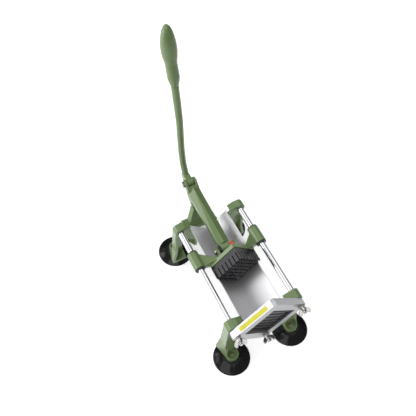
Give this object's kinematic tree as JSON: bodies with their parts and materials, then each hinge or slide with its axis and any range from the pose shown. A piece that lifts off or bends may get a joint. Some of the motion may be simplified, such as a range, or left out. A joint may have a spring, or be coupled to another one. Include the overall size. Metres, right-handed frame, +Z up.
{
  "type": "vegetable dicer",
  "caption": "Lever-operated vegetable dicer: a handle drives a finger block on guide rods along a V trough into a square blade grid; suction feet.",
  "frame": {"origin": "on the table at the middle of the machine's length, on its plane of symmetry", "axes": "+Z up, the blade frame faces -Y, +X to the right seen from the blade end's side looking along +Y"},
  "size_m": [0.2706, 0.5998, 0.6225],
  "materials": {
    "green_enamel": "glossy enamel over cast metal",
    "green_grip": "glossy moulded grip",
    "chrome_rod": "polished hard chrome",
    "stainless_sheet": "brushed stainless sheet",
    "frame_aluminium": "satin cast and machined",
    "blade_steel": "ground blade steel",
    "nickel": "nickel plate",
    "zinc_steel": "zinc-plated steel",
    "brass": "turned brass",
    "black_block": "semi-gloss moulded plastic",
    "black_bushing": "bearing plastic",
    "black_rubber": "glossy moulded rubber",
    "red_plastic": "moulded plastic",
    "yellow_label": "printed-free vinyl label"
  },
  "bodies": {
    "base": {"front_casting": "green_enamel", "rear_casting": "green_enamel", "feed_trough": "stainless_sheet", "blade_frame_back_plate": "frame_aluminium", "blade_frame_front_plate": "frame_aluminium", "blade_grid_rear": "blade_steel", "blade_grid_front": "blade_steel", "bottom_stud": "zinc_steel", "frame_label": "yellow_label", "pivot_shaft": "zinc_steel", "handle_stop_bumper": "black_rubber", "guide_rod_left": "chrome_rod", "pivot_collar_left": "zinc_steel", "trough_screw_front_left": "zinc_steel", "rod_set_screw_front_left": "zinc_steel", "suction_cup_front_left": "black_rubber", "foot_screw_front_left": "brass", "trough_screw_rear_left": "zinc_steel", "rod_set_screw_rear_left": "zinc_steel", "suction_cup_rear_left": "black_rubber", "foot_screw_rear_left": "brass", "frame_screw_left_upper": "zinc_steel", "frame_screw_left_lower": "zinc_steel", "guide_rod_right": "chrome_rod", "pivot_collar_right": "zinc_steel", "trough_screw_front_right": "zinc_steel", "rod_set_screw_front_right": "zinc_steel", "suction_cup_front_right": "black_rubber", "foot_screw_front_right": "brass", "trough_screw_rear_right": "zinc_steel", "rod_set_screw_rear_right": "zinc_steel", "suction_cup_rear_right": "black_rubber", "foot_screw_rear_right": "brass", "frame_screw_right_upper": "zinc_steel", "frame_screw_right_lower": "zinc_steel"},
    "carriage": {"carriage_casting": "green_enamel", "pusher_block": "black_block", "link_lower_pin": "nickel", "pin_spacer_left": "black_bushing", "pin_spacer_right": "red_plastic", "rod_bushing_front_left": "black_bushing", "rod_bushing_rear_left": "black_bushing", "rod_bushing_front_right": "black_bushing", "rod_bushing_rear_right": "black_bushing", "block_screw_left": "zinc_steel", "block_screw_right": "zinc_steel", "block_screw_upper": "zinc_steel", "block_screw_lower": "zinc_steel"},
    "link": {"link_bar": "green_enamel", "upper_pin_head": "nickel", "upper_pin_end": "nickel"},
    "handle": {"handle_lever": "green_enamel", "handle_grip": "green_grip", "upper_pin_core": "nickel"},
    "wing_nut_left": {"wing_nut_left": "nickel"},
    "wing_nut_right": {"wing_nut_right": "nickel"},
    "wing_nut_bottom": {"wing_nut_bottom": "nickel"}
  },
  "joints": [
    {"name": "handle_pivot", "type": "hinge", "parent": "base", "child": "handle", "pos_m": [0, 0.12668, 0.0556], "axis": [1, 0, 0], "range_deg": [0, 60.89]},
    {"name": "carriage_slide", "type": "slide", "parent": "base", "child": "carriage", "axis": [0, -1, 0], "range_m": [0, 0.1392]},
    {"name": "link_hinge", "type": "hinge", "parent": "carriage", "child": "link", "pos_m": [0, -0.03632, 0.1626], "axis": [-1, 0, 0], "range_deg": [0, 6.36]},
    {"name": "wing_nut_left_turn", "type": "hinge", "parent": "base", "child": "wing_nut_left", "pos_m": [-0.0868, -0.26632, 0.1706], "axis": [0, 1, 0], "continuous": true},
    {"name": "wing_nut_right_turn", "type": "hinge", "parent": "base", "child": "wing_nut_right", "pos_m": [0.0868, -0.26632, 0.1706], "axis": [0, 1, 0], "continuous": true},
    {"name": "wing_nut_bottom_turn", "type": "hinge", "parent": "base", "child": "wing_nut_bottom", "pos_m": [0, -0.26632, 0.0861], "axis": [0, 1, 0], "continuous": true}
  ],
  "couplings": [
    {"joint": "carriage_slide", "follows": "handle_pivot", "m_per_rad": 0.13079},
    {"joint": "link_hinge", "follows": "handle_pivot", "ratio": 0.10362}
  ]
}
